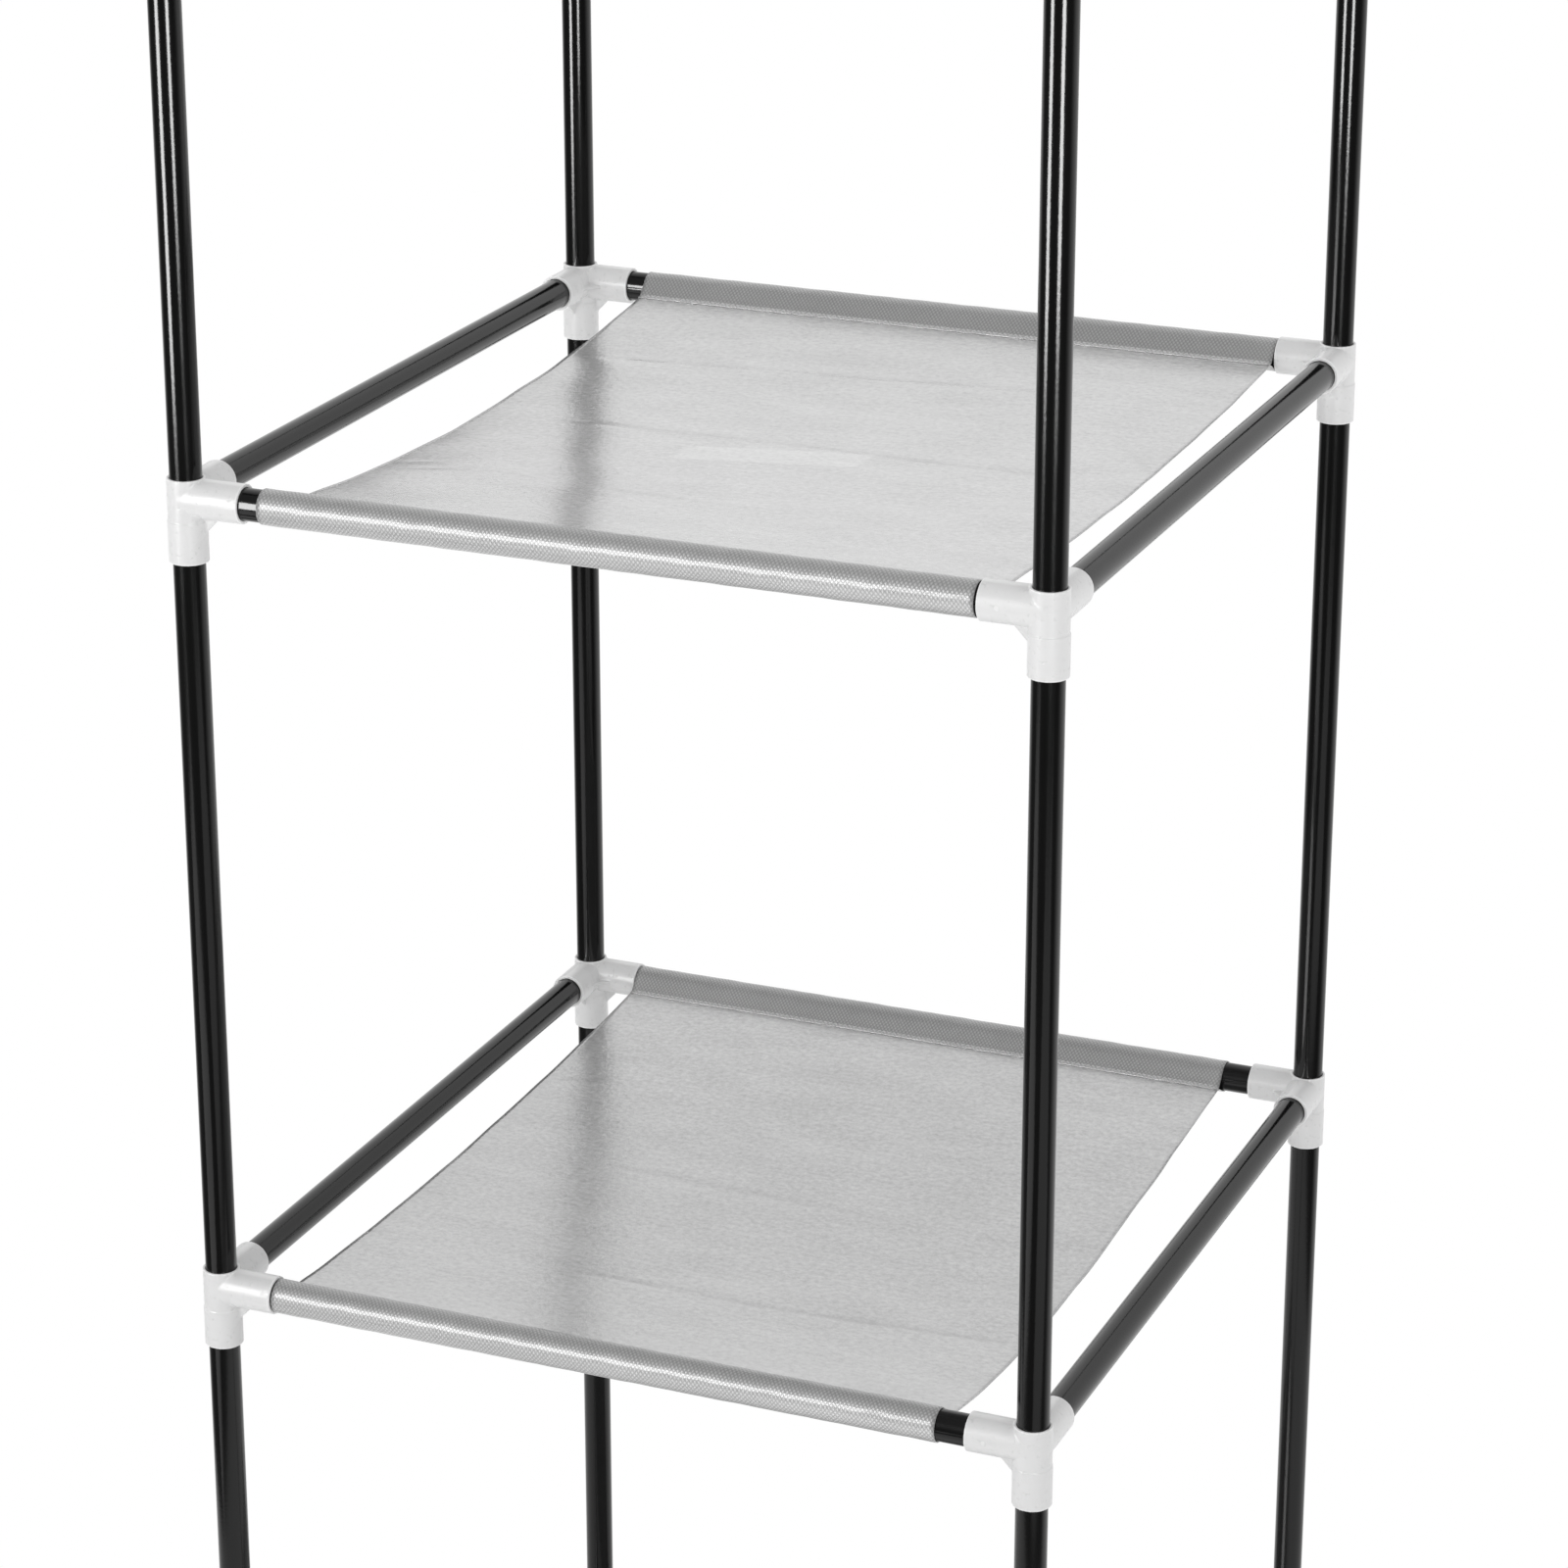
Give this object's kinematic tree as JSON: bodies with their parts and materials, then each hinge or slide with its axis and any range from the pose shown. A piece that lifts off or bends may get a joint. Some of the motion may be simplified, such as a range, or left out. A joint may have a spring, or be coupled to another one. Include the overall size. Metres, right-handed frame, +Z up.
{
  "type": "portable fabric wardrobe",
  "caption": "Tall knock-down wardrobe frame of black steel tubes pushed into white corner connectors, with slung grey fabric shelves and a hanging bay on top.",
  "frame": {"origin": "centre of the four feet on the floor", "axes": "+Z up, -Y towards the open front, +X to the right seen from the front"},
  "size_m": [0.4656, 0.4736, 1.7284],
  "materials": {
    "black_tube": "gloss black powder-coated steel",
    "white_plastic": "semi-gloss white moulded polypropylene",
    "grey_fabric": "pale grey coated non-woven fabric with a soft sheen and a fine embossed mesh"
  },
  "bodies": {
    "frame": {"foot_connector_front_left": "white_plastic", "foot_connector_front_right": "white_plastic", "foot_connector_back_right": "white_plastic", "foot_connector_back_left": "white_plastic", "connector_lower_front_left": "white_plastic", "connector_lower_front_right": "white_plastic", "connector_lower_back_right": "white_plastic", "connector_lower_back_left": "white_plastic", "connector_upper_front_left": "white_plastic", "connector_upper_front_right": "white_plastic", "connector_upper_back_right": "white_plastic", "connector_upper_back_left": "white_plastic", "connector_top_front_left": "white_plastic", "connector_top_front_right": "white_plastic", "connector_top_back_right": "white_plastic", "connector_top_back_left": "white_plastic", "post_coupler_front_left": "white_plastic", "post_coupler_front_right": "white_plastic", "post_coupler_back_right": "white_plastic", "post_coupler_back_left": "white_plastic", "rail_tee_left": "white_plastic", "rail_tee_right": "white_plastic", "post_tier1_front_left": "black_tube", "post_tier1_front_right": "black_tube", "post_tier1_back_right": "black_tube", "post_tier1_back_left": "black_tube", "post_tier2_front_left": "black_tube", "post_tier2_front_right": "black_tube", "post_tier2_back_right": "black_tube", "post_tier2_back_left": "black_tube", "post_tier3_front_left": "black_tube", "post_tier3_front_right": "black_tube", "post_tier3_back_right": "black_tube", "post_tier3_back_left": "black_tube", "post_tier4_front_left": "black_tube", "post_tier4_front_right": "black_tube", "post_tier4_back_right": "black_tube", "post_tier4_back_left": "black_tube", "cross_rail_base_front": "black_tube", "cross_rail_base_back": "black_tube", "cross_rail_lower_front": "black_tube", "cross_rail_lower_back": "black_tube", "cross_rail_upper_front": "black_tube", "cross_rail_upper_back": "black_tube", "cross_rail_top_front": "black_tube", "cross_rail_top_back": "black_tube", "side_rail_base_left": "black_tube", "side_rail_base_right": "black_tube", "side_rail_lower_left": "black_tube", "side_rail_lower_right": "black_tube", "side_rail_upper_left": "black_tube", "side_rail_upper_right": "black_tube", "side_rail_top_left_front": "black_tube", "side_rail_top_left_back": "black_tube", "side_rail_top_right_front": "black_tube", "side_rail_top_right_back": "black_tube", "clothes_rail": "black_tube"},
    "base_shelf": {"shelf_base": "grey_fabric"},
    "lower_shelf": {"shelf_lower": "grey_fabric"},
    "upper_shelf": {"shelf_upper": "grey_fabric"}
  },
  "joints": [
    {"name": "base_shelf_slide", "type": "slide", "parent": "frame", "child": "base_shelf", "axis": [1, 0, 0], "range_m": [-0.006, 0.006]},
    {"name": "lower_shelf_slide", "type": "slide", "parent": "frame", "child": "lower_shelf", "axis": [1, 0, 0], "range_m": [0, 0.015]},
    {"name": "upper_shelf_slide", "type": "slide", "parent": "frame", "child": "upper_shelf", "axis": [1, 0, 0], "range_m": [-0.01, 0]}
  ]
}
